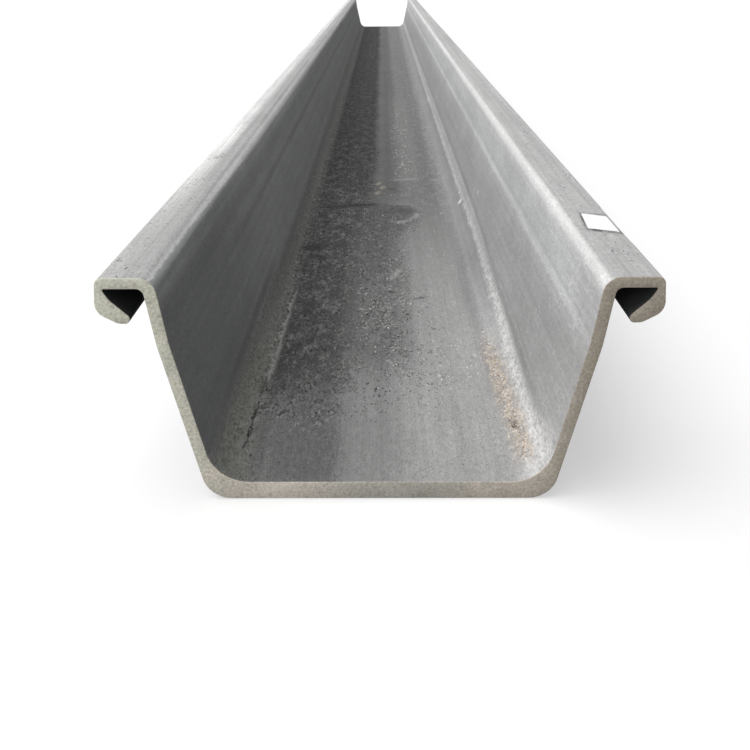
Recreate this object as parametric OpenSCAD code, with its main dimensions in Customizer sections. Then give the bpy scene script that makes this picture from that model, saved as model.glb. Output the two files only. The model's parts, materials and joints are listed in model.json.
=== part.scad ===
// U-section steel sheet pile: one length of hot-rolled stock.
// The section lies in X and Z, with its trough open upwards, and the length runs along Y.
// The origin is the middle of the pan's outer face, which is the face the pile lies on.

/* [Stock] */
// Length of the pile
length = 6000; // [2000:500:18000]

/* [Pan and webs] */
// Width of the pan's outer face, between the sharp corners of its heels
pan_width = 287; // [270:1:300]
// Thickness of the pan
pan_thickness = 15.5; // [12:0.5:20]
// Thickness of the webs
web_thickness = 10; // [8:0.1:12]
// Drop of the bend in each web below the interlock centre
web_bend_drop = 33; // [25:1:50]
// Lean of the upper web from upright, in degrees
upper_web_lean = 8; // [5:0.5:10]

/* [Interlock] */
// Spacing of the interlock centres, which is the pitch of piles in a wall
effective_width = 400; // [390:1:420]
// Height of the interlock centres above the pan's outer face
effective_height = 170; // [150:1:200]
// Play between the facing surfaces of two joined claws
interlock_clearance = 1.5; // [1:0.1:3]
// Distance from the interlock centre straight out to the claw's outer wall
claw_reach = 19.5; // [18:0.5:22]
// Lean of the claw's outer wall from upright, in degrees
claw_wall_lean = 6; // [0:0.5:10]
// Distance from the interlock centre down to the claw's lowest face
claw_drop = 13.4; // [12:0.2:16]
// Thickness of the arm that carries the claw
arm_thickness = 8.6; // [7:0.1:11]
// Lean of the claw's inner face from level, near its tip, in degrees
claw_tip_lean = 43; // [40:1:46]
// Lean of the claw's inner face from level, near the arm, in degrees
claw_root_lean = 60; // [52:1:66]
// Height above the interlock centre at which the claw's inner face steepens
claw_bow_rise = 6; // [4:0.5:8]
// Width of the bevel under the claw
claw_bevel_width = 17.5; // [15:0.5:19]
// Height of the bevel under the claw
claw_bevel_height = 9.5; // [6:0.5:11]

/* [Rounding] */
// Radius of the heel, outside the bend from the pan to the web
heel_radius = 24; // [15:1:32]
// Radius inside the bend from the pan to the web
trough_radius = 35; // [20:1:45]
// Radius of the bend in the web
web_bend_radius = 90; // [40:5:120]
// Radius of the shoulder, where the web turns out into the arm
shoulder_radius = 14; // [8:1:18]
// Radius in the corner under the arm
armpit_radius = 6; // [3:0.5:8]
// Radius of the arm's outer edge
arm_edge_radius = 6; // [3:0.5:8]
// Radius where the claw's outer wall meets its bevel
claw_wall_radius = 12; // [6:1:14]
// Radius where the bevel meets the claw's lowest face
claw_floor_radius = 10; // [4:1:12]
// Radius of the claw's tip
claw_tip_radius = 4; // [2.5:0.1:4.2]
// Radius of the bow in the claw's inner face
claw_bow_radius = 25; // [15:1:30]
// Radius in the throat, where the claw's inner face meets the arm
throat_radius = 1.2; // [0.8:0.1:2.5]

/* [Hidden] */

// Largest gap between a round stretch and the flats that stand for it
arc_gap = 0.02;

// The interlock centre, about which two joined claws match by a half turn
lock = [effective_width / 2, effective_height];

arm_under = lock.y + claw_drop + interlock_clearance;
pile_height = arm_under + arm_thickness;
claw_floor = lock.y - claw_drop;

function unit(v) = v / norm(v);

// Direction of a line that leans out from upright by the given angle
function upright(lean) = [sin(lean), cos(lean)];

// Direction of a line that climbs from level by the given angle
function climbing(lean) = [cos(lean), sin(lean)];

// Point at the given height on the line through start
function at_height(start, direction, height) = start + direction * (height - start.y) / direction.y;

// Point where the line through a meets the line through b
function meeting(a, along_a, b, along_b) = a + along_a * cross(b - a, along_b) / cross(along_a, along_b);

// Line start moved towards the trough by the web's thickness
function trough_side(start, direction) = start + [-direction.y, direction.x] * web_thickness;

// Web, from the heel up to the corner under the arm
upper_along = upright(upper_web_lean);
web_beside_lock = [lock.x - claw_reach - interlock_clearance, lock.y];
heel = [pan_width / 2, 0];
outer_bend = at_height(web_beside_lock, upper_along, lock.y - web_bend_drop);
armpit = at_height(web_beside_lock, upper_along, arm_under);
lower_along = unit(outer_bend - heel);
inner_bend = meeting(trough_side(heel, lower_along), lower_along,
                     trough_side(armpit, upper_along), upper_along);
trough_corner = at_height(inner_bend, lower_along, pan_thickness);
shoulder = at_height(inner_bend, upper_along, pile_height);

// Claw, from the throat round its tip to the arm's outer edge
face_beside_lock = lock + [sin(claw_tip_lean), -cos(claw_tip_lean)] * interlock_clearance / 2;
claw_bow = at_height(face_beside_lock, climbing(claw_tip_lean), lock.y + claw_bow_rise);
throat = at_height(claw_bow, climbing(claw_root_lean), arm_under);
claw_tip = at_height(claw_bow, climbing(claw_tip_lean), claw_floor);
wall_along = upright(-claw_wall_lean);
wall_beside_lock = lock + [claw_reach, 0];
bevel_head = at_height(wall_beside_lock, wall_along, claw_floor + claw_bevel_height);
bevel_foot = [bevel_head.x - claw_bevel_width, claw_floor];
arm_edge = at_height(wall_beside_lock, wall_along, pile_height);

// Corners of the right half, each with its radius, from the heel round the claw to the trough
half_corners = [
    [heel, heel_radius],
    [outer_bend, web_bend_radius],
    [armpit, armpit_radius],
    [throat, throat_radius],
    [claw_bow, claw_bow_radius],
    [claw_tip, claw_tip_radius],
    [bevel_foot, claw_floor_radius],
    [bevel_head, claw_wall_radius],
    [arm_edge, arm_edge_radius],
    [shoulder, shoulder_radius],
    [inner_bend, web_bend_radius],
    [trough_corner, trough_radius]
];

function mirrored(corner) = [[-corner[0].x, corner[0].y], corner[1]];

corners = [
    each half_corners,
    for (i = [len(half_corners) - 1:-1:0]) mirrored(half_corners[i])
];

// Points of the arc that rounds corner b on the way from a to c
function rounded(a, b, c, radius) =
    let (
        back = unit(a - b),
        ahead = unit(c - b),
        half_angle = acos(back * ahead) / 2,
        centre = b + unit(back + ahead) * radius / sin(half_angle),
        spoke = b + back * radius / tan(half_angle) - centre,
        first = atan2(spoke.y, spoke.x),
        turn = (180 - 2 * half_angle) * sign(cross(ahead, back)),
        steps = max(1, ceil(abs(turn) / (2 * acos(1 - arc_gap / radius))))
    )
    [for (i = [0:steps]) centre + radius * [cos(first + turn * i / steps), sin(first + turn * i / steps)]];

outline = [
    for (i = [0:len(corners) - 1])
        let (
            before = corners[(i + len(corners) - 1) % len(corners)],
            after = corners[(i + 1) % len(corners)]
        )
        each rounded(before[0], corners[i][0], after[0], corners[i][1])
];

module sheet_pile() {
    color([0.60, 0.57, 0.53])
        rotate([90, 0, 0])
            linear_extrude(height = length, center = true, convexity = 8)
                polygon(outline);
}

sheet_pile();
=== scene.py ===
"""Looks of one length of hot-rolled U-section steel sheet pile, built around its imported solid.

The trough opens upwards and the length runs along Y. The sawn end at low Y faces the camera.
All places and sizes are in metres.
"""

import json
import math
import random

import bpy
from mathutils import Euler, Matrix, Vector


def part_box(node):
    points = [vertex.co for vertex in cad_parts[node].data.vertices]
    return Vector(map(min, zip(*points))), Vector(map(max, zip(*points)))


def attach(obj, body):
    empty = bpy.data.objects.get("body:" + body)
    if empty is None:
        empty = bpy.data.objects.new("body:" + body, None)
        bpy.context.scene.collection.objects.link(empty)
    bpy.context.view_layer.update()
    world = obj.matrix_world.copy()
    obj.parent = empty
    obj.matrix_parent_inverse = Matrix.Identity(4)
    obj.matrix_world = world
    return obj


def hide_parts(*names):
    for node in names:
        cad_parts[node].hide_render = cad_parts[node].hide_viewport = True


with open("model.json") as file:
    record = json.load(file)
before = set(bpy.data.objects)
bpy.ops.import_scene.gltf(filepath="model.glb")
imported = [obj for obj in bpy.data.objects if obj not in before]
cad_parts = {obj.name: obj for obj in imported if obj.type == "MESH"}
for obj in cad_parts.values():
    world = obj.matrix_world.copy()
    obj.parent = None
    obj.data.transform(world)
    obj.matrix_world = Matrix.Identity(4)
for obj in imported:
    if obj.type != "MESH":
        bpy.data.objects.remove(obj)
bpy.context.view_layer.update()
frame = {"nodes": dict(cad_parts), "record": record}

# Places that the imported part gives
solid = frame["nodes"]["sheet_pile"].data
mounts = {mount["name"]: Vector(mount["pos_m"]) for mount in frame["record"]["mounts"]}
pile_low, pile_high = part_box("sheet_pile")
FRONT = pile_low.y
BACK = pile_high.y
ARM_TOP = pile_high.z
PAN_FACE = mounts["pan_inner_face"].z

# Points closer to each other than this count as one
MERGE = 0.00001


def flat_reach(height):
    """How far the section's level face at that height reaches to the side."""
    return max(point.co.x for point in solid.vertices if abs(point.co.z - height) < MERGE)


PAN_REACH = flat_reach(PAN_FACE)
ARM_REACH = flat_reach(ARM_TOP)

# Rounding of the section, as the solid has it
TROUGH_RADIUS = 0.035
ARM_EDGE_RADIUS = 0.006

# Lines halfway through a web, below and above its bend: distance from the pile's middle at height 0,
# and its growth with height
LOWER_WALL = (0.1350, 0.260)
UPPER_WALL = (0.1511, 0.1405)

# Camera, at the photograph's viewing angle
CAMERA_SIDE = 0.003
CAMERA_BEFORE_FRONT = 0.6806
CAMERA_HEIGHT = 0.4128
CAMERA_PITCH = math.radians(23.761)
CAMERA_YAW = math.radians(0.549)
CAMERA_ROLL = math.radians(-0.353)
SENSOR_MM = 36.0
FOCAL_MM = 45.09

# Light: directions point from the pile to the lamp
KEY_FROM = Vector((-0.40, 0.06, 0.91))
KEY_POWER = 2.9
KEY_SPREAD = math.radians(70)
FILL_FROM = Vector((-0.25, -0.93, 0.24))
FILL_POWER = 1.7
FILL_SPREAD = math.radians(60)
SKY_LIGHT = 0.11

# The floor lies a little lower than the pan, so that their faces don't meet. It shows its shadow at half
# strength, and throws light back onto the pile as a grey floor would.
FLOOR_DROP = 0.0003
FLOOR_SIZE = 80
FLOOR_SHADOW = 0.5
FLOOR_BOUNCE = 0.25
WHITE = (1.0, 1.0, 1.0, 1.0)

# Mesh of the pile: the longest side of its outline, and its stretches from the front end, each with its
# length and the rings cut into it
OUTLINE_STEP = 0.008
STRETCHES = ((0.010, 3), (1.190, 95), (4.790, 100), (0.010, 3))
RIM_BEVEL = 0.0008
RIM_SEGMENTS = 2
SMOOTH_ANGLE = math.radians(25)

# How far a face's normal must point along Y for it to be an end, and to have the sawn finish
END_FACING = 0.9
SAWN_FACING = 0.1
QUAD_CORNERS = 4

# Grit: the shapes that its grains share, then how each is sized, tilted, stretched, flattened and seated
GRIT_SEED = 11
GRAIN_SHAPES = 4
GRAIN_PUSH = 0.45
GRAIN_EVENNESS = 0.4
GRAIN_RADIUS = (0.0004, 0.0011)
FLAKE_RADIUS = (0.0010, 0.0028)
GRAIN_SHRINK = (0.6, 1.0)
GRAIN_TILT = 0.3
GRAIN_STRETCH = (0.7, 1.3)
GRAIN_FLATNESS = (0.4, 0.8)
GRAIN_SEAT = 0.3

# Rusty grit in the right corner: its run behind the front end, how it crowds along that run, and how far
# up the corner's curve it lies at the start and the end of it
RUSTY_COUNT = 800
RUSTY_START = 0.028
RUSTY_RUN = 0.330
RUSTY_CROWDING = (1.3, 1.7)
RUSTY_TURN = math.radians(31)
RUSTY_TURN_BACK = math.radians(19)
RUSTY_TURN_SPREAD = math.radians(5)

# Pale grit: the share of it in the corner, and its places there and on the pan
PALE_COUNT = 170
PALE_CORNER_SHARE = 0.3
PALE_CORNER_BACK = (0.01, 0.40)
PALE_CORNER_SPREAD = 2.0 * RUSTY_TURN_SPREAD
PALE_SIDE = 0.02
PALE_SIDE_SPREAD = 0.045
PALE_BACK = (0.18, 1.10)

# Flakes of scale: their sides, and their nearest, farthest and commonest distance behind the front end
FLAKE_COUNT = 150
FLAKE_SIDE = (-0.030, 0.036)
FLAKE_BACK = (0.22, 0.62, 0.42)

# Blank tag on the right arm: its inner edge's side, distance behind the front end, width and lean, and
# how far its outer edge slants towards the front
TAG_INNER = 0.1885
TAG_BACK = 0.169
TAG_WIDTH = 0.054
TAG_LEAN = math.radians(4.3)
TAG_SLANT = 0.012

# The tag's round corners, its wrap over the arm's outer edge and its thickness
TAG_CORNER = 0.002
TAG_CORNER_SEGMENTS = 3
TAG_WRAP = math.radians(75)
TAG_WRAP_STEPS = 6
TAG_THICKNESS = 0.0002

# Pressing of the arm under the tag: its depth, how far it reaches past the tag's inner edge and below the
# arm's top, and how far a pressed face must point up or out
PRESS_DEPTH = 0.0003
PRESS_BESIDE = 0.012
PRESS_BELOW = 0.010
PRESS_FACING = 0.5

# A scratch or smudge: how much it thins at its ends and how far out it fades away, in half widths
STROKE_THINNING = 0.7
STROKE_EDGE = 1.3


class Field:
    """One output of a node tree, with arithmetic that adds Math nodes."""

    def __init__(self, tree, socket):
        self.tree = tree
        self.socket = socket

    def beside(self, output):
        """Another output of the same node."""
        return Field(self.tree, self.socket.node.outputs[output])

    def __add__(self, other):
        return self.tree.math("ADD", self, other)

    def __radd__(self, other):
        return self.tree.math("ADD", other, self)

    def __sub__(self, other):
        return self.tree.math("SUBTRACT", self, other)

    def __rsub__(self, other):
        return self.tree.math("SUBTRACT", other, self)

    def __mul__(self, other):
        return self.tree.math("MULTIPLY", self, other)

    def __rmul__(self, other):
        return self.tree.math("MULTIPLY", other, self)

    def __abs__(self):
        return self.tree.math("ABSOLUTE", self)


class Tree:
    """A node tree under construction."""

    def __init__(self, nodes):
        self.nodes = nodes

    def node(self, kind, settings=None, inputs=None, output=0):
        """A new node: its settings are made first, then its inputs are set or linked. Gives one output."""
        node = self.nodes.nodes.new(kind)
        for name, value in (settings or {}).items():
            setattr(node, name, value)
        for name, value in (inputs or {}).items():
            if isinstance(value, Field):
                self.nodes.links.new(value.socket, node.inputs[name])
            else:
                node.inputs[name].default_value = value
        return Field(self, node.outputs[output]) if node.outputs else None

    def math(self, operation, first, second=0.0):
        return self.node("ShaderNodeMath", {"operation": operation}, {0: first, 1: second})

    def seen_or_lit(self, seen, lit):
        """One shader for camera, glossy and transmission rays, and another for the light on the pile."""
        camera_ray = self.node("ShaderNodeLightPath", output="Is Camera Ray")
        seen_ray = camera_ray
        for kind in ("Is Glossy Ray", "Is Transmission Ray"):
            seen_ray = self.math("MAXIMUM", seen_ray, camera_ray.beside(kind))
        return self.node("ShaderNodeMixShader", inputs={0: seen_ray, 1: lit, 2: seen})


class Finish(Tree):
    """A material under construction, drawn in Object coordinates."""

    def __init__(self, name, specular=0.25):
        self.material = bpy.data.materials.new(name)
        self.material.use_nodes = True
        super().__init__(self.material.node_tree)
        self.shader = self.nodes.nodes["Principled BSDF"]
        self.shader.inputs["Specular IOR Level"].default_value = specular
        self.place = self.node("ShaderNodeTexCoord", output="Object")
        self.x = self.node("ShaderNodeSeparateXYZ", inputs={0: self.place})
        self.y = self.x.beside("Y")
        self.z = self.x.beside("Z")

    def ramp(self, value, start, end):
        """A smooth rise from 0 where the value is start to 1 where it is end."""
        inputs = {"Value": value, "From Min": start, "From Max": end}
        return self.node("ShaderNodeMapRange", {"interpolation_type": "SMOOTHSTEP"}, inputs)

    def held(self, value):
        """The value, held between 0 and 1."""
        return self.node("ShaderNodeClamp", inputs={"Value": value})

    def band(self, value, middle, half_width, soft):
        """A stripe: 1 within half_width of the middle, fading out over soft."""
        return self.ramp(abs(value - middle), half_width + soft, half_width)

    def stretched(self, scale, shift):
        """The place on the piece, scaled along each axis and shifted, for a pattern to read."""
        inputs = {0: self.place, 1: scale, 2: (shift, shift, shift)}
        return self.node("ShaderNodeVectorMath", {"operation": "MULTIPLY_ADD"}, inputs)

    def noise(self, scale, detail, coarseness=0.5, shift=0.0):
        """Cloudy values round 0, with that many waves in a metre along each axis."""
        place = self.stretched(scale, shift)
        inputs = {"Vector": place, "Scale": 1.0, "Detail": detail, "Roughness": coarseness}
        return self.node("ShaderNodeTexNoise", {"noise_dimensions": "3D"}, inputs) - 0.5

    def vector_math(self, operation, first, second=(0.0, 0.0, 0.0), output="Vector"):
        return self.node("ShaderNodeVectorMath", {"operation": operation}, {0: first, 1: second}, output)

    def stroke(self, place, start, end, half_width):
        """A straight mark from start to end on the face that place runs over, thinner at its ends."""
        run = Vector((*end, 0.0)) - Vector((*start, 0.0))
        from_start = self.vector_math("SUBTRACT", place, (*start, 0.0))
        along = self.vector_math("DOT_PRODUCT", from_start, tuple(run / run.length_squared), "Value")
        along = self.held(along)
        foot = self.shade(tuple(run), along)
        gap = self.vector_math("LENGTH", self.vector_math("SUBTRACT", from_start, foot), output="Value")
        thinning = STROKE_THINNING * (1.0 - self.band(along, 0.5, 0.25, 0.25))
        return self.ramp(gap + half_width * thinning, half_width * STROKE_EDGE, 0.0)

    def mix(self, mask, first, second):
        """The first colour where the mask is 0, the second where it is 1."""
        settings = {"data_type": "RGBA"}
        return self.node("ShaderNodeMix", settings, {0: mask, 6: paint(first), 7: paint(second)}, output=2)

    def shade(self, colour, amount):
        """A colour made lighter or darker, or a direction made longer or shorter."""
        return self.node("ShaderNodeVectorMath", {"operation": "SCALE"}, {0: colour, "Scale": amount})

    def bump(self, height, distance, strength):
        """Fine relief of that depth."""
        inputs = {"Height": height, "Distance": distance, "Strength": strength}
        return self.node("ShaderNodeBump", inputs=inputs)

    def finish(self, **sockets):
        """Set or link the shader's sockets, named with _ for a space, and give the material."""
        for name, value in sockets.items():
            socket = self.shader.inputs[name.replace("_", " ")]
            if isinstance(value, Field):
                self.nodes.links.new(value.socket, socket)
            else:
                socket.default_value = value
        return self.material


def paint(colour):
    """A colour as a socket takes it."""
    return colour if isinstance(colour, Field) else (*colour, 1.0)


# Finishes

def grey(level, warmth=0.0):
    """A grey of that level, warmer or cooler than neutral by a small share."""
    return (level * (1 + warmth), level, level * (1 - warmth))


# Colours of the rolled faces, their marks, the sawn ends, the grit and the tag
# The next three greys, for the left web, are partly painted shade.
LEFT_WEB = grey(0.203, -0.020)
LEFT_WEB_FAR = grey(0.310, -0.010)
LEFT_WEB_TOP = grey(0.350, -0.010)
LEFT_WEB_LINE = grey(0.140)
LEFT_CORNER = (0.185, 0.187, 0.169)
LEFT_CORNER_FAR = (0.114, 0.115, 0.110)
# The next grey is painted light along the left shoulder's rounded edge.
LEFT_SHOULDER_LIT = grey(0.720)
LEFT_SHOULDER_LOW = grey(0.440, -0.010)
LEFT_SHOULDER_FAR = grey(0.600, -0.010)
# The next three greys, for the right web, are partly painted light.
RIGHT_WEB_LOW = grey(0.398, 0.002)
RIGHT_WEB_HIGH = grey(0.650, -0.008)
RIGHT_WEB_NEAR = grey(0.480, 0.010)
RIGHT_BEND = grey(0.710, -0.004)
# The next grey is a painted highlight along the right shoulder.
RIGHT_SHOULDER_HIGHLIGHT = grey(0.700, 0.004)
RIGHT_CORNER_DARK = grey(0.210)
RIGHT_STREAK = grey(0.630, 0.008)
RIGHT_STREAK_FAR = grey(0.530)
PAN_RIGHT = grey(0.332, 0.008)
# The next two greys, for the pan's left, are partly painted shadow of the left web.
PAN_LEFT = grey(0.128, 0.004)
PAN_LEFT_EDGE = grey(0.158, 0.010)
DARK_SCALE = grey(0.054, -0.006)
WORN_SCALE = grey(0.100, 0.014)
OUTER_SCALE = grey(0.260, 0.010)
LEFT_ARM_OUTER = grey(0.505, 0.008)
LEFT_ARM_OUTER_FAR = grey(0.760, 0.004)
LEFT_ARM_INNER = grey(0.415, 0.004)
RIGHT_ARM = grey(0.422, 0.004)
RIGHT_ARM_OUTER = grey(0.460, 0.004)
# The next grey is painted shade in the interlock pockets.
POCKET_SHADE = grey(0.050, -0.030)
PIT = grey(0.050, 0.020)
ARM_PIT = grey(0.120, 0.020)
WHITE_FLECK = grey(0.620)
BRIGHT_FLECK = grey(0.360, 0.020)
SCRATCH_PALE = grey(0.330, 0.010)
# The next grey serves dark scratches and the painted shadow along the tag's edges.
SCRATCH_AND_SHADOW_DARK = grey(0.040, 0.010)
SMUDGE_DARK = grey(0.018, 0.010)
WEB_SCRATCH = grey(0.800, 0.010)
WEB_LINE = grey(0.230, 0.010)
RUST_TAN = (0.500, 0.438, 0.372)
RUST_BROWN = (0.275, 0.220, 0.172)
RUST_PALE = (0.420, 0.375, 0.310)
RUST_DARK = (0.200, 0.125, 0.085)
SAWN_CREAM = (0.630, 0.625, 0.528)
SAWN_PINK = (0.600, 0.545, 0.478)
SAWN_GREY = (0.410, 0.396, 0.352)
SAWN_TAN = (0.480, 0.432, 0.372)
SAWN_BROWN = (0.352, 0.312, 0.258)
GRAIN_PALE = grey(0.660, 0.040)
TAG_WHITE = grey(0.900)
TAG_DIRT = grey(0.620, 0.030)

# Marks on the pan: start and end, each as side and distance behind the front end, then half width,
# colour and strength
PAN_MARKS = (
    ((-0.105, 0.958), (0.010, 0.984), 0.018, SMUDGE_DARK, 1.0),
    ((0.000, 0.975), (0.060, 0.955), 0.012, SMUDGE_DARK, 0.6),
    ((0.004, 0.935), (0.064, 0.928), 0.034, SMUDGE_DARK, 0.6),
    ((0.022, 0.845), (0.052, 0.868), 0.009, SCRATCH_PALE, 0.7),
    ((0.052, 0.868), (0.066, 0.920), 0.007, SCRATCH_PALE, 0.7),
    ((0.012, 0.540), (0.028, 0.600), 0.008, SCRATCH_PALE, 0.9),
    ((-0.122, 0.702), (-0.090, 0.698), 0.022, SMUDGE_DARK, 1.0),
    ((-0.110, 0.662), (-0.068, 0.645), 0.018, SMUDGE_DARK, 0.8),
    ((0.015, 1.178), (0.082, 1.198), 0.012, SCRATCH_PALE, 0.5),
    ((0.094, 1.180), (0.112, 1.182), 0.010, SCRATCH_PALE, 0.4),
    ((0.035, 0.478), (0.058, 0.488), 0.0040, SCRATCH_PALE, 0.5),
    ((0.036, 0.462), (0.062, 0.474), 0.0050, SCRATCH_AND_SHADOW_DARK, 0.9),
    ((-0.009, 1.055), (-0.004, 1.085), 0.006, RUST_PALE, 0.6),
    ((0.001, 1.100), (0.004, 1.130), 0.006, RUST_PALE, 0.6),
    ((-0.008, 1.135), (-0.003, 1.165), 0.006, RUST_PALE, 0.6),
    ((0.014, 1.100), (0.028, 1.104), 0.014, SMUDGE_DARK, 0.9),
    ((-0.111, 0.520), (-0.1145, 0.300), 0.0028, SCRATCH_PALE, 0.9),
    ((-0.1135, 0.340), (-0.1165, 0.180), 0.0030, SCRATCH_PALE, 0.9),
    ((-0.1160, 0.200), (-0.1220, 0.020), 0.0022, SCRATCH_PALE, 0.5),
    ((-0.1180, 0.170), (-0.1205, 0.040), 0.0016, SMUDGE_DARK, 1.4),
    ((-0.1170, 0.215), (-0.1190, 0.165), 0.0045, SMUDGE_DARK, 0.8),
    ((0.1290, 0.066), (0.1250, 0.105), 0.0030, RUST_DARK, 1.2),
    ((0.1285, 0.080), (0.1205, 0.118), 0.0020, SCRATCH_AND_SHADOW_DARK, 1.2),
)

# Marks on the right web: start and end, each as height and distance behind the front end, then the same
WEB_MARKS = (
    ((0.184, 0.088), (0.164, 0.094), 0.0026, WEB_SCRATCH, 0.9),
    ((0.166, 0.093), (0.149, 0.112), 0.0026, WEB_SCRATCH, 0.9),
    ((0.150, 0.084), (0.140, 0.090), 0.0050, WEB_SCRATCH, 0.6),
    ((0.053, 0.120), (0.060, 0.300), 0.0022, WEB_LINE, 0.5),
    ((0.060, 0.290), (0.056, 0.460), 0.0022, WEB_LINE, 0.4),
    ((0.081, 0.774), (0.082, 0.784), 0.0050, WEB_SCRATCH, 1.0),
    ((0.030, 0.930), (0.031, 0.948), 0.0060, WEB_SCRATCH, 1.0),
)

# Painted shadow along the edges of the tag, on the right arm, laid out as the marks on the pan
TAG_SHADOW_MARKS = (
    ((0.1848, 0.132), (0.1906, 0.204), 0.0026, SCRATCH_AND_SHADOW_DARK, 0.9),
    ((0.1810, 0.1430), (0.2250, 0.1240), 0.0080, SCRATCH_AND_SHADOW_DARK, 1.0),
    ((0.1860, 0.1990), (0.2250, 0.1860), 0.0050, SCRATCH_AND_SHADOW_DARK, 0.5),
)

# Sawn ends, from the cream left side to the right: where each next colour starts and is full
SAWN_SIDES = (
    (-0.17, -0.12, SAWN_PINK),
    (-0.09, 0.00, SAWN_GREY),
    (0.03, 0.10, SAWN_TAN),
    (0.13, 0.17, SAWN_BROWN),
)


class RolledFace(Finish):
    """The finish of the rolled faces: where each face lies, the noise that its marks share, its colours.

    The numbers in its methods are places and reaches in metres, or strengths.
    """

    def __init__(self):
        super().__init__("mill_scale", specular=0.12)
        self.back = self.y - FRONT
        self.across = abs(self.x)
        self.on_right = self.ramp(self.x, -0.02, 0.02)
        self.inside = self.ramp(self.z, PAN_FACE - 0.004, PAN_FACE - 0.001)
        self.on_pan = self.inside * self.ramp(self.z, PAN_FACE + 0.0040, PAN_FACE + 0.0005)
        self.on_arm = self.ramp(self.z, ARM_TOP - 0.0042, ARM_TOP - 0.0002)
        lower_wall, upper_wall = (foot + growth * self.z for foot, growth in (LOWER_WALL, UPPER_WALL))
        wall = self.math("MINIMUM", lower_wall, upper_wall)
        past_wall = self.ramp(self.across - wall, -0.001, 0.001)
        self.outer = self.math("MAXIMUM", 1.0 - self.inside, past_wall)

        # Noise from coarse to fine, then two kinds that are drawn out along the length
        self.cloud = self.noise((16, 7, 16), detail=4.0, coarseness=0.60)
        self.blotch = self.noise((60, 26, 60), detail=4.0, coarseness=0.65, shift=3.0)
        self.speck = self.noise((190, 80, 190), detail=4.0, coarseness=0.80, shift=5.0)
        self.spots = self.noise((420, 180, 420), detail=2.0, coarseness=0.60, shift=12.0)
        self.fine = self.noise((950, 420, 950), detail=2.0, coarseness=0.60, shift=14.0)
        self.streaks = self.noise((110, 0.9, 110), detail=3.0, coarseness=0.60, shift=7.0)
        self.hairlines = self.noise((520, 5, 520), detail=2.0, coarseness=0.50, shift=9.0)
        self.ragged = self.blotch * 0.05 + self.speck * 0.10

        # Grounds that several marks share
        dusty_side = self.ramp(self.x + self.ragged * 0.2, -0.108, -0.117)
        self.dusty = dusty_side * self.ramp(self.z, 0.044, 0.028) * self.inside
        self.left = self.left_share()
        self.scale = self.scale_share()
        self.scabs = self.scab_share()
        self.rust = self.rust_share()
        self.left_scale = self.scale * self.left
        self.right_scabs = self.scabs * (1.0 - self.left)
        dense = self.band(self.x, -0.010, 0.014, 0.022) * self.band(self.back, 0.430, 0.060, 0.090)
        self.fleck_depth = self.spots + self.fine * 0.3 - 0.050 * dense

    def drift(self, start, *changes):
        """A value that shifts along the length. Each change has an amount, a start and an end."""
        value = start
        for amount, first, last in changes:
            value = value + amount * self.ramp(self.back, first, last)
        return value

    def left_share(self):
        """The darker left of the pan, partly painted shadow of the left web, to a ragged edge that drifts
        along the length.
        """
        edge = self.drift(-0.035, (0.006, 0.20, 0.50), (0.018, 0.70, 1.20)) + self.cloud * 0.030
        ragged = self.ragged * self.drift(0.5, (1.5, 0.12, 0.30), (-1.2, 0.90, 1.20))
        soft = self.drift(0.009, (-0.005, 0.90, 1.20))
        return self.ramp(edge + ragged - self.x, -1.0 * soft, soft)

    def scale_share(self):
        """Dark scale on the left of the pan, which starts a little way behind the front end."""
        start = self.back - 0.30 * (self.x + 0.075) + self.ragged * 4.5 + self.cloud * 0.12
        return self.ramp(start, 0.150, 0.220)

    def scab_share(self):
        """Scabby ground beside the scale, in the middle of the pan."""
        edge = self.drift(0.034, (0.028, 0.74, 0.86), (-0.080, 0.930, 1.000)) + self.cloud * 0.050
        scabs = self.ramp(edge + self.ragged * 1.6 - self.x, -0.022, 0.016)
        return scabs * self.ramp(self.back + self.ragged * 2.6, 0.170, 0.310)

    def rust_share(self):
        """Rust low in the right corner, near the front end."""
        middle = self.drift(0.1270, (-0.0060, 0.05, 0.30))
        strip = self.band(self.x + self.ragged * 0.12, middle, 0.0036, 0.0105)
        strip = strip * self.ramp(self.z, 0.030, 0.024) * self.inside
        run = self.ramp(self.back + self.cloud * 0.1, 0.36, 0.22) * self.ramp(self.back, 0.008, 0.050)
        return strip * run

    def left_web(self):
        """The left web: dark, partly painted shade, paler to the back and top, with a dark line low down
        and at its bend.
        """
        z, back = self.z, self.back
        colour = self.mix(self.ramp(back, 0.05, 0.70), LEFT_WEB, LEFT_WEB_FAR)
        colour = self.mix(self.ramp(z, 0.080, 0.150) * self.ramp(back, 0.15, 0.80), colour, LEFT_WEB_TOP)
        low_line = self.band(z, 0.043, 0.001, 0.009) * self.band(back, 0.33, 0.08, 0.25)
        colour = self.mix(low_line * 0.6, colour, LEFT_WEB_LINE)
        bend_line = self.band(z + self.ragged * 0.04, 0.127, 0.001, 0.007) * self.ramp(back, 0.20, 0.45)
        return self.mix(bend_line * 0.35, colour, LEFT_WEB_LINE)

    def right_web(self):
        """The right web: pale, partly painted light, paler above its bend, which shows as a pale line, and
        duller by the front end.
        """
        colour = self.mix(self.ramp(self.z, 0.100, 0.172), RIGHT_WEB_LOW, RIGHT_WEB_HIGH)
        bend = self.band(self.z + self.ragged * 0.04, 0.1395, 0.0015, 0.0060)
        colour = self.mix(bend * (0.8 + self.cloud), colour, RIGHT_BEND)
        near = self.ramp(self.back + self.cloud * 0.2, 0.14, 0.0)
        return self.mix(near * 0.7, colour, RIGHT_WEB_NEAR)

    def shoulders(self, colour):
        """Shoulders: a painted highlight on the right; on the left a worn band, and painted light along
        the edge, wider to the back.
        """
        below = ARM_TOP - self.z
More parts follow.
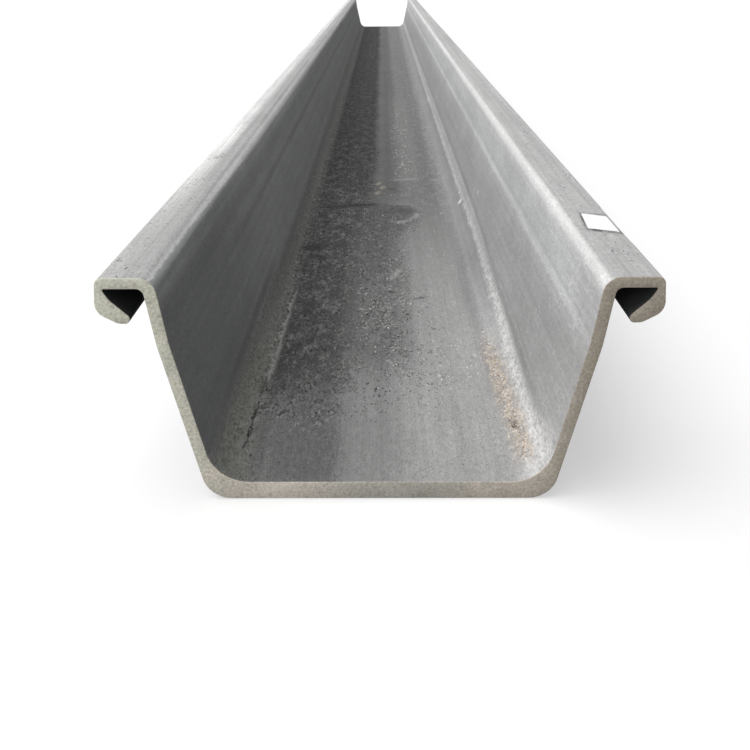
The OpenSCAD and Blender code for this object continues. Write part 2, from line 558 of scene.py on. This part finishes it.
        # Painted highlight along the right shoulder
        right = self.ramp(below, 0.024, 0.006) * self.on_right
        colour = self.mix(right, colour, RIGHT_SHOULDER_HIGHLIGHT)
        on_left = 1.0 - self.on_right
        worn = self.ramp(below, 0.030, 0.012) * (0.6 + 1.6 * self.streaks)
        low = self.mix(self.ramp(self.back, 0.25, 0.60), LEFT_SHOULDER_LOW, LEFT_SHOULDER_FAR)
        colour = self.mix(self.held(worn) * on_left, colour, low)
        # Painted light along the left shoulder's edge, wider to the back
        edge = self.drift(0.0032, (0.0066, 0.05, 0.72), (0.0030, 0.70, 1.10))
        lit_edge = self.ramp(below - edge + self.speck * 0.008, 0.0016, -0.0014)
        return self.mix(lit_edge * on_left, colour, LEFT_SHOULDER_LIT)

    def pan(self):
        """The pan: pale right, darker left partly by painted shadow, darker to the back, scabby in the
        middle, dark scale on the left.
        """
        x, back = self.x, self.back
        length = self.ramp(back + self.cloud * 0.3, 0.15, 1.15)
        # Darker towards the left: partly painted shadow of the left web
        painted_left_shadow = self.ramp(x, 0.055, -0.005)
        colour = self.shade(PAN_RIGHT, (1.0 - 0.58 * length) * (1.0 - 0.33 * painted_left_shadow))
        colour = self.shade(colour, 1.0 - self.scabs * self.drift(0.39, (-0.02, 0.50, 0.60)))
        far_strip = self.band(x + self.ragged * 0.3, 0.022, 0.008, 0.016) * self.ramp(back, 0.95, 1.15)
        colour = self.shade(colour, 1.0 - 0.32 * far_strip)
        left_colour = self.mix(self.ramp(x, -0.075, -0.100), PAN_LEFT, PAN_LEFT_EDGE)
        patches = self.blotch + 0.7 * self.cloud + 0.6 * self.speck + 0.3 * self.spots
        scale_colour = self.mix(self.ramp(patches, -0.20, 0.20), DARK_SCALE, WORN_SCALE)
        scale_colour = self.shade(scale_colour, 1.0 - 0.50 * self.ramp(back, 0.60, 1.60))
        return self.mix(self.left, colour, self.mix(self.scale, left_colour, scale_colour))

    def left_corner(self, colour):
        """The trough's left corner: dusty, and darker to the back."""
        dust = self.mix(self.ramp(self.back, 0.15, 0.70), LEFT_CORNER, LEFT_CORNER_FAR)
        return self.mix(self.dusty * 0.9, colour, dust)

    def right_corner(self, colour):
        """The trough's right corner, dark to the back, with a pale streak and a darker line above it."""
        x, z, back = self.x, self.z, self.back
        dark = self.ramp(x, 0.096, 0.116) * self.ramp(z, 0.044, 0.026) * self.ramp(back, 0.20, 0.65)
        colour = self.mix(dark * 0.9, colour, RIGHT_CORNER_DARK)
        middle = self.drift(0.037, (-0.008, 0.03, 0.10), (0.005, 0.10, 0.35), (0.0105, 0.20, 0.85))
        reach = self.drift(0.0240, (-0.012, 0.03, 0.10), (-0.001, 0.10, 0.40), (0.003, 0.35, 0.90))
        core = self.drift(0.15, (0.40, 0.35, 0.90))
        height = z + self.ragged * 0.12 - middle
        past_pan = self.ramp(x, 0.110, 0.118)
        top_line = self.band(height - reach, 0.002, 0.001, 0.005) * past_pan * self.ramp(back, 0.08, 0.15)
        colour = self.shade(colour, 1.0 - 0.14 * top_line)
        broken = self.held(0.80 + self.speck * 4.0 + self.spots * 2.5)
        streak = self.ramp(abs(height), reach, reach * core) * past_pan * broken
        pale = self.mix(self.ramp(back, 0.30, 0.60), RIGHT_STREAK, RIGHT_STREAK_FAR)
        return self.mix(streak, colour, pale)

    def arms(self, colour):
        """Tops of the arms, paler towards the outer edges."""
        outer = self.mix(self.ramp(self.back, 0.12, 0.50), LEFT_ARM_OUTER, LEFT_ARM_OUTER_FAR)
        left = self.mix(self.ramp(self.x + self.ragged * 0.15, -0.190, -0.206), LEFT_ARM_INNER, outer)
        right = self.mix(self.ramp(self.x, 0.203, 0.213), RIGHT_ARM, RIGHT_ARM_OUTER)
        return self.mix(self.on_arm, colour, self.mix(self.on_right, left, right))

    def rusty(self, colour):
        """Brown and tan rust, broken up by specks."""
        rust_colour = self.mix(self.ramp(self.speck, -0.05, 0.05), RUST_BROWN, RUST_TAN)
        return self.mix(self.rust * self.held(0.66 + self.speck * 5.0), colour, rust_colour)

    def mottled(self, colour):
        """Mottling of many sizes and lengthwise streaks, strongest on the scale and its scabby edge."""
        far = self.ramp(self.back, 0.70, 1.30)
        near_edge = self.left * self.band(self.back + self.ragged * 1.5, 0.155, 0.020, 0.050)
        rough = 0.08 + 0.22 * self.left + 1.05 * self.left_scale + 1.40 * self.right_scabs
        rough = rough + 0.45 * far + near_edge
        depth = 0.20 + self.on_pan * rough + 0.50 * self.dusty + 0.06 * self.on_arm
        depth = depth * (0.6 + 0.8 * self.ramp(self.blotch, -0.14, 0.14))
        amount = 1.0 + depth * (self.speck * 2.2 + self.spots * 2.6)
        amount = amount + self.fine * (0.30 + self.on_pan * (0.50 + 0.60 * self.left) + 0.20 * self.on_arm)
        crust = self.held(self.left_scale + self.scabs)
        amount = amount * (1.0 + self.blotch * (0.25 + self.on_pan * (far + 1.30 * crust)))
        amount = amount * (1.0 + self.cloud * 0.40)
        amount = amount * (1.0 + self.streaks * (0.36 + 0.30 * self.on_arm))
        amount = amount * (1.0 + self.hairlines * (0.20 + 0.10 * self.on_pan + 0.30 * self.on_arm))
        return self.shade(colour, amount)

    def pit_share(self):
        """Small dark pits in the pan and the dust, densest in two places behind the front end."""
        x, back = self.x, self.back
        dense = self.band(x, -0.015, 0.012, 0.020) * self.band(back, 0.165, 0.030, 0.040)
        dense = dense + self.band(x, 0.030, 0.025, 0.030) * self.band(back, 0.310, 0.110, 0.100)
        ground = self.on_pan * (0.45 + 0.45 * self.scabs + 0.30 * self.left + 0.30 * dense)
        depth = self.spots + self.fine * 0.3 + 0.025 * dense
        return self.ramp(depth, 0.120, 0.175) * (ground + 0.40 * self.dusty)

    def arm_pit_share(self):
        """Sparse pits in the tops of the arms, away from the shoulders."""
        depth = self.spots + 0.5 * self.blotch
        return self.ramp(depth, 0.150, 0.200) * self.on_arm * self.ramp(self.across, 0.180, 0.194)

    def fleck_share(self):
        """Bright flecks: few all over the pan, more on the near scale, scabs and rust, and a far patch."""
        near = self.ramp(self.back, 0.60, 0.48) * (0.30 * self.left_scale + 0.7 * self.right_scabs)
        ground = self.on_pan * (0.10 + near) + 0.5 * self.rust
        far = self.band(self.x, 0.048, 0.012, 0.022) * self.on_pan * 0.90
        far = far * self.ramp(self.back, 1.10, 1.30) * self.ramp(self.back, 2.60, 1.90)
        far = far * self.ramp(self.speck + self.blotch * 0.5, -0.040, -0.110)
        return self.ramp(self.fleck_depth, -0.110, -0.180) * ground + far

    def white_fleck_share(self):
        """A patch of white flecks on the right of the pan."""
        patch = self.band(self.x, 0.082, 0.018, 0.018) * self.band(self.back, 0.255, 0.050, 0.060)
        return self.ramp(self.fleck_depth, -0.140, -0.180) * patch * self.on_pan

    def pocket_shade_share(self):
        """Painted shade in the insides of the interlock pockets."""
        sides = self.ramp(self.across, 0.1765, 0.1790) * self.ramp(self.across, 0.2175, 0.2160)
        return sides * self.ramp(self.z, ARM_TOP - 0.0060, ARM_TOP - 0.0075)

    def marked(self, colour, side, back, marks, ground):
        """Marks drawn over one face, broken up by its mottling: scratches, smudges and painted shadow."""
        place = self.node("ShaderNodeCombineXYZ", inputs={0: side, 1: back})
        worn = ground * (0.45 + 0.55 * self.ramp(self.speck, -0.04, 0.05))
        for start, end, half_width, mark_colour, strength in marks:
            share = self.stroke(place, start, end, half_width) * worn * strength
            colour = self.mix(share, colour, mark_colour)
        return colour

    def scratched(self, colour):
        """The marks on the pan and the right web, and the painted shadow along the tag's edges on the
        right arm.
        """
        wobble = self.blotch * 0.010 + self.speck * 0.012
        back = self.back + wobble
        in_trough = 1.0 - self.outer
        pan_ground = self.ramp(self.z, PAN_FACE + 0.006, PAN_FACE + 0.004) * in_trough
        colour = self.marked(colour, self.x + wobble, back, PAN_MARKS, pan_ground)
        web_ground = self.on_right * self.ramp(self.z, PAN_FACE + 0.004, PAN_FACE + 0.008) * in_trough
        colour = self.marked(colour, self.z + wobble * 0.3, back, WEB_MARKS, web_ground)
        # Painted shadow along the tag's edges on the right arm
        return self.marked(colour, self.x, self.back, TAG_SHADOW_MARKS, self.on_arm * self.on_right)


def mill_scale():
    """Rolled faces: grey mill scale, darker on the left, with streaks, pits, dust, a rusty corner, and
    painted light and shade.
    """
    face = RolledFace()
    colour = face.shoulders(face.mix(face.on_right, face.left_web(), face.right_web()))
    colour = face.mix(face.on_pan, colour, face.pan())
    colour = face.right_corner(face.left_corner(colour))
    colour = face.mix(face.outer, colour, OUTER_SCALE)
    colour = face.mottled(face.rusty(face.arms(colour)))
    pits = face.pit_share()
    flecks = face.fleck_share()
    colour = face.mix(pits, colour, PIT)
    colour = face.mix(face.arm_pit_share(), colour, ARM_PIT)
    colour = face.mix(flecks, colour, BRIGHT_FLECK)
    colour = face.mix(face.white_fleck_share(), colour, WHITE_FLECK)
    # The pockets get painted shade.
    colour = face.mix(face.pocket_shade_share(), face.scratched(colour), POCKET_SHADE)
    height = face.speck * (1.0 + 1.2 * face.on_pan) + face.hairlines * 0.15 - pits + flecks
    return face.finish(
        Base_Color=colour,
        Roughness=0.60 + face.cloud * 0.25 + 0.20 * face.left_scale + 0.2 * face.rust,
        Normal=face.bump(height, distance=0.0010, strength=0.6),
    )


def sawn_steel():
    """Sawn ends: dull beige cut steel, cream to the left and browner to the right."""
    finish = Finish("sawn_steel")
    cloud = finish.noise((40, 40, 40), detail=6.0, coarseness=0.62)
    stains = finish.noise((110, 110, 110), detail=3.0, coarseness=0.60, shift=2.0)
    grain = finish.noise((420, 420, 420), detail=3.0, coarseness=0.70, shift=4.0)
    side = finish.x + cloud * 0.12
    colour = SAWN_CREAM
    for start, end, next_colour in SAWN_SIDES:
        colour = finish.mix(finish.ramp(side, start, end), colour, next_colour)
    colour = finish.mix(finish.ramp(stains, 0.02, 0.20) * 0.6, colour, SAWN_BROWN)
    colour = finish.shade(colour, 0.98 + cloud * 0.8 + grain * 1.5)
    relief = finish.bump(grain, distance=0.0004, strength=0.6)
    return finish.finish(Base_Color=colour, Roughness=0.7, Normal=relief)


def rust_grain():
    """Loose rusty grit: brown, tan and pale grains."""
    finish = Finish("rust_grain")
    lot = finish.noise((330, 210, 330), detail=1.0)
    colour = finish.mix(finish.ramp(lot, -0.12, 0.02), RUST_BROWN, RUST_TAN)
    colour = finish.mix(finish.ramp(lot, 0.03, 0.12), colour, GRAIN_PALE)
    return finish.finish(Base_Color=colour, Roughness=0.9)


def pale_grain():
    """Loose pale grit."""
    finish = Finish("pale_grain")
    lot = finish.noise((300, 300, 300), detail=1.0)
    colour = finish.shade(GRAIN_PALE, 1.05 + 0.6 * lot)
    return finish.finish(Base_Color=colour, Roughness=0.6)


def loose_scale():
    """Loose flakes of mill scale, some dark and some worn pale."""
    finish = Finish("loose_scale")
    lot = finish.noise((260, 160, 260), detail=1.0)
    colour = finish.mix(finish.ramp(lot, -0.08, 0.08), WORN_SCALE, BRIGHT_FLECK)
    return finish.finish(Base_Color=colour, Roughness=0.7)


def tag_paper():
    """A blank white tag, a little dirty."""
    finish = Finish("tag_paper")
    dirt = finish.noise((160, 160, 160), detail=5.0, coarseness=0.65)
    colour = finish.mix(finish.ramp(dirt, 0.08, 0.22) * 0.5, TAG_WHITE, TAG_DIRT)
    return finish.finish(Base_Color=colour, Roughness=0.45)


# Modelling

def only(piece):
    """Make piece the one selected and active object."""
    bpy.ops.object.select_all(action="DESELECT")
    piece.select_set(True)
    bpy.context.view_layer.objects.active = piece


def pick(piece, kind, rule):
    """Select the faces or edges of piece that meet the rule, and leave it in edit mode."""
    bpy.ops.object.mode_set(mode="EDIT")
    bpy.ops.mesh.select_mode(type=kind)
    bpy.ops.mesh.select_all(action="DESELECT")
    bpy.ops.object.mode_set(mode="OBJECT")
    for part in piece.data.polygons if kind == "FACE" else piece.data.edges:
        part.select = rule(part)
    bpy.ops.object.mode_set(mode="EDIT")


def edge_ends(piece, edge):
    """The two end points of an edge."""
    return [piece.data.vertices[index].co for index in edge.vertices]


def edge_length(piece, edge):
    """The distance between the two end points of an edge."""
    start, end = edge_ends(piece, edge)
    return (end - start).length


def end_outline(piece):
    """Keep the front end of the solid, as one face with evenly spaced points on its long sides."""
    bpy.ops.object.mode_set(mode="EDIT")
    bpy.ops.mesh.select_all(action="SELECT")
    bpy.ops.mesh.remove_doubles(threshold=MERGE)
    pick(piece, "FACE", lambda face: face.normal.y > -END_FACING)
    bpy.ops.mesh.delete(type="FACE")
    bpy.ops.mesh.select_all(action="SELECT")
    bpy.ops.mesh.dissolve_faces()
    bpy.ops.object.mode_set(mode="OBJECT")
    while max(edge_length(piece, edge) for edge in piece.data.edges) > OUTLINE_STEP:
        pick(piece, "EDGE", lambda edge: edge_length(piece, edge) > OUTLINE_STEP)
        bpy.ops.mesh.subdivide(number_cuts=1)
        bpy.ops.object.mode_set(mode="OBJECT")


def crosses(piece, edge, level):
    """Whether an edge runs from one side of a level along Y to the other."""
    first, second = edge_ends(piece, edge)
    return (first.y - level) * (second.y - level) < 0


def draw_out(piece):
    """Draw the end's face out to the whole length, stretch by stretch, and cut each into rings."""
    pick(piece, "FACE", lambda face: True)
    for length, _ in STRETCHES:
        bpy.ops.mesh.extrude_region_move(TRANSFORM_OT_translate={"value": (0, length, 0)})
    bpy.ops.object.mode_set(mode="OBJECT")
    start = FRONT
    for length, rings in STRETCHES:
        middle = start + length / 2
        pick(piece, "EDGE", lambda edge: crosses(piece, edge, middle))
        bpy.ops.mesh.subdivide(number_cuts=rings)
        bpy.ops.object.mode_set(mode="OBJECT")
        start += length


def at_end(point):
    """Whether a point lies on one of the sawn ends."""
    return min(abs(point.y - FRONT), abs(point.y - BACK)) < MERGE


def bevel_rims(piece):
    """Break the sharp rims of both sawn ends."""
    pick(piece, "EDGE", lambda edge: all(at_end(point) for point in edge_ends(piece, edge)))
    bpy.ops.mesh.bevel(offset=RIM_BEVEL, segments=RIM_SEGMENTS, affect="EDGES")
    bpy.ops.mesh.select_all(action="SELECT")
    bpy.ops.mesh.normals_make_consistent(inside=False)
    bpy.ops.object.mode_set(mode="OBJECT")


def split_ends(piece):
    """Split both sawn faces into even triangles, because their sides hold many points in line."""
    pick(piece, "FACE", lambda face: abs(face.normal.y) > END_FACING and len(face.vertices) > QUAD_CORNERS)
    bpy.ops.mesh.quads_convert_to_tris(quad_method="BEAUTY", ngon_method="BEAUTY")
    bpy.ops.object.mode_set(mode="OBJECT")


def press_under_tag(piece):
    """Press the right arm in by a little more than the tag's thickness, so that the tag lies flush."""
    middle = FRONT + TAG_BACK - TAG_SLANT / 2

    def under_tag(face):
        beside = face.center.x > TAG_INNER - PRESS_BESIDE and face.center.z > ARM_TOP - PRESS_BELOW
        facing = max(face.normal.x, face.normal.z) > PRESS_FACING
        return beside and facing and abs(face.center.y - middle) < TAG_WIDTH

    pick(piece, "FACE", under_tag)
    bpy.ops.transform.translate(value=(-PRESS_DEPTH, 0.0, -PRESS_DEPTH))
    bpy.ops.object.mode_set(mode="OBJECT")


def rolled_pile():
    """The pile itself: rolled faces, two sawn ends and their rims."""
    pile = bpy.data.objects.new("pile", solid.copy())
    bpy.context.collection.objects.link(pile)
    only(pile)
    end_outline(pile)
    draw_out(pile)
    bevel_rims(pile)
    split_ends(pile)
    press_under_tag(pile)
    pile.data.materials.clear()
    pile.data.materials.append(mill_scale())
    pile.data.materials.append(sawn_steel())
    for face in pile.data.polygons:
        face.material_index = int(abs(face.normal.y) > SAWN_FACING)
    bpy.ops.object.shade_smooth_by_angle(angle=SMOOTH_ANGLE)
    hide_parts("sheet_pile")
    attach(pile, "root")


def join_grains(name, grains, material):
    """Join grains into one piece with a name and a finish, riding on the pile."""
    only(grains[0])
    for grain in grains:
        grain.select_set(True)
    bpy.ops.object.join()
    whole = bpy.context.object
    whole.name = name
    whole.data.name = name
    whole.data.materials.clear()
    whole.data.materials.append(material)
    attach(whole, "root")


def rough_grain(seed):
    """One grain of grit: a small faceted ball of radius 1 with its corners pushed about."""
    bpy.ops.object.select_all(action="DESELECT")
    bpy.ops.mesh.primitive_ico_sphere_add(subdivisions=1, radius=1.0)
    bpy.ops.object.mode_set(mode="EDIT")
    bpy.ops.transform.vertex_random(offset=GRAIN_PUSH, uniform=GRAIN_EVENNESS, seed=seed)
    bpy.ops.object.mode_set(mode="OBJECT")
    return bpy.context.object


def in_corner(turn, back, lift):
    """A point low in the right corner of the trough, lifted off its face."""
    out = Vector((math.sin(turn), 0.0, -math.cos(turn)))
    centre = Vector((PAN_REACH, FRONT + back, PAN_FACE + TROUGH_RADIUS))
    return centre + out * (TROUGH_RADIUS - lift)


def on_the_pan(side, back, lift):
    """A point on the pan's inner face, lifted off it."""
    return Vector((side, FRONT + back, PAN_FACE + lift))


def grit(name, material, count, sizes, spot, draw):
    """Loose grains: copies of a few shapes, each sized, turned and dropped on a spot."""
    shapes = [rough_grain(seed) for seed in range(GRAIN_SHAPES)]
    grains = []
    for number in range(count):
        radius = draw.uniform(*sizes) * draw.uniform(*GRAIN_SHRINK)
        mesh = shapes[number % GRAIN_SHAPES].data.copy()
        tilt_x = draw.uniform(-GRAIN_TILT, GRAIN_TILT)
        tilt_y = draw.uniform(-GRAIN_TILT, GRAIN_TILT)
        turn = Euler((tilt_x, tilt_y, draw.uniform(0.0, math.tau)))
        squat = Vector((1.0, draw.uniform(*GRAIN_STRETCH), draw.uniform(*GRAIN_FLATNESS))) * radius
        mesh.transform(Matrix.LocRotScale(spot(radius * GRAIN_SEAT), turn, squat))
        grain = bpy.data.objects.new(name, mesh)
        bpy.context.collection.objects.link(grain)
        grains.append(grain)
    for shape in shapes:
        bpy.data.objects.remove(shape)
    join_grains(name, grains, material)


def corner_grit(draw):
    """Rusty grit that lies in the right corner, thinning out away from the front end."""
    def spot(lift):
        share = draw.betavariate(*RUSTY_CROWDING)
        middle = RUSTY_TURN + (RUSTY_TURN_BACK - RUSTY_TURN) * share
        return in_corner(draw.gauss(middle, RUSTY_TURN_SPREAD), RUSTY_START + RUSTY_RUN * share, lift)

    grit("corner_grit", rust_grain(), RUSTY_COUNT, GRAIN_RADIUS, spot, draw)


def pan_grit(draw):
    """Pale grit scattered over the middle of the pan, with a little in the right corner."""
    def spot(lift):
        if draw.random() < PALE_CORNER_SHARE:
            turn = draw.gauss(RUSTY_TURN_BACK, PALE_CORNER_SPREAD)
            return in_corner(turn, draw.uniform(*PALE_CORNER_BACK), lift)
        return on_the_pan(draw.gauss(PALE_SIDE, PALE_SIDE_SPREAD), draw.uniform(*PALE_BACK), lift)

    grit("pan_grit", pale_grain(), PALE_COUNT, GRAIN_RADIUS, spot, draw)


def scale_flakes(draw):
    """Loose flakes of scale on the scabby middle of the pan."""
    def spot(lift):
        return on_the_pan(draw.uniform(*FLAKE_SIDE), draw.triangular(*FLAKE_BACK), lift)

    grit("scale_flakes", loose_scale(), FLAKE_COUNT, FLAKE_RADIUS, spot, draw)


def tag_sheet():
    """The tag before it is wrapped: a flat sheet with a leaning inner edge and two round corners."""
    level = ARM_TOP - TAG_THICKNESS / 2
    middle = FRONT + TAG_BACK
    reach = ARM_REACH - TAG_INNER
    bpy.ops.object.select_all(action="DESELECT")
    bpy.ops.mesh.primitive_plane_add(size=1.0, location=(TAG_INNER + reach / 2, middle, level))
    sheet = bpy.context.object
    sheet.name = "tag"
    bpy.ops.object.mode_set(mode="EDIT")
    bpy.ops.transform.resize(value=(reach, TAG_WIDTH, 1.0))
    bpy.ops.object.mode_set(mode="OBJECT")
    bpy.ops.object.transform_apply(location=True, rotation=False, scale=False)
    pick(sheet, "EDGE", lambda edge: all(end.x < TAG_INNER + MERGE for end in edge_ends(sheet, edge)))
    bpy.ops.transform.rotate(value=TAG_LEAN, orient_axis="Z", center_override=(TAG_INNER, middle, level))
    bpy.ops.mesh.bevel(offset=TAG_CORNER, segments=TAG_CORNER_SEGMENTS, affect="VERTICES")
    bpy.ops.object.mode_set(mode="OBJECT")
    return sheet


def wrap_over_edge(sheet):
    """Slant the tag's outer edge towards the front and spin it round the arm's outer edge."""
    pick(sheet, "EDGE", lambda edge: all(end.x > ARM_REACH - MERGE for end in edge_ends(sheet, edge)))
    bpy.ops.transform.translate(value=(0.0, -TAG_SLANT, 0.0))
    bpy.ops.mesh.spin(
        steps=TAG_WRAP_STEPS,
        angle=TAG_WRAP,
        center=(ARM_REACH, 0.0, ARM_TOP - ARM_EDGE_RADIUS),
        axis=(0.0, 1.0, 0.0),
    )
    bpy.ops.mesh.select_all(action="SELECT")
    bpy.ops.mesh.remove_doubles(threshold=MERGE)
    bpy.ops.mesh.normals_make_consistent(inside=False)
    bpy.ops.object.mode_set(mode="OBJECT")


def tag():
    """A thin blank tag laid over the right arm and round its outer edge."""
    piece = tag_sheet()
    wrap_over_edge(piece)
    thick = piece.modifiers.new("thickness", "SOLIDIFY")
    thick.thickness = TAG_THICKNESS
    thick.offset = 0.0
    bpy.ops.object.modifier_apply(modifier=thick.name)
    bpy.ops.object.shade_smooth_by_angle(angle=SMOOTH_ANGLE)
    piece.data.materials.append(tag_paper())
    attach(piece, "root")


# Stage

def lamp(name, direction, power, spread):
    """A distant soft lamp that shines from the given direction."""
    light = bpy.data.lights.new(name, "SUN")
    light.energy = power
    light.angle = spread
    holder = bpy.data.objects.new(name, light)
    holder.rotation_euler = direction.to_track_quat("Z", "Y").to_euler()
    bpy.context.collection.objects.link(holder)


def studio_world():
    """White to look at, and a low even light on the pile."""
    world = bpy.data.worlds.new("studio")
    world.use_nodes = True
    world.node_tree.nodes.clear()
    tree = Tree(world.node_tree)
    seen = tree.node("ShaderNodeBackground", inputs={"Color": WHITE, "Strength": 1.0})
    lit = tree.node("ShaderNodeBackground", inputs={"Color": WHITE, "Strength": SKY_LIGHT})
    tree.node("ShaderNodeOutputWorld", inputs={"Surface": tree.seen_or_lit(seen, lit)})
    bpy.context.scene.world = world


def studio_floor():
    """A white floor that keeps the pile's shadow."""
    bpy.ops.object.select_all(action="DESELECT")
    bpy.ops.mesh.primitive_plane_add(size=FLOOR_SIZE, location=(0.0, 0.0, -FLOOR_DROP))
    floor = bpy.context.object
    floor.name = "floor"
    material = bpy.data.materials.new("floor")
    material.use_nodes = True
    material.node_tree.nodes.clear()
    tree = Tree(material.node_tree)
    white = tree.node("ShaderNodeEmission", inputs={"Color": WHITE})
    shadowed = tree.node("ShaderNodeBsdfDiffuse", inputs={"Color": WHITE})
    seen = tree.node("ShaderNodeMixShader", inputs={0: FLOOR_SHADOW, 1: white, 2: shadowed})
    lit = tree.node("ShaderNodeBsdfDiffuse", inputs={"Color": paint(grey(FLOOR_BOUNCE))})
    tree.node("ShaderNodeOutputMaterial", inputs={"Surface": tree.seen_or_lit(seen, lit)})
    floor.data.materials.append(material)


def camera():
    """The photograph's camera: in front of the sawn end, looking down into the trough."""
    view = bpy.data.cameras.new("camera")
    view.sensor_width = SENSOR_MM
    view.lens = FOCAL_MM
    eye = bpy.data.objects.new("camera", view)
    bpy.context.collection.objects.link(eye)
    place = Matrix.Translation((CAMERA_SIDE, FRONT - CAMERA_BEFORE_FRONT, CAMERA_HEIGHT))
    turn = Matrix.Rotation(CAMERA_YAW, 4, "Z")
    tilt = Matrix.Rotation(math.pi / 2 - CAMERA_PITCH, 4, "X")
    roll = Matrix.Rotation(CAMERA_ROLL, 4, "Z")
    eye.matrix_world = place @ turn @ tilt @ roll
    bpy.context.scene.camera = eye


bpy.context.scene.view_settings.view_transform = "Standard"
camera()
studio_world()
studio_floor()
lamp("key", KEY_FROM, KEY_POWER, KEY_SPREAD)
lamp("fill", FILL_FROM, FILL_POWER, FILL_SPREAD)
rolled_pile()
draw = random.Random(GRIT_SEED)
corner_grit(draw)
pan_grit(draw)
scale_flakes(draw)
tag()
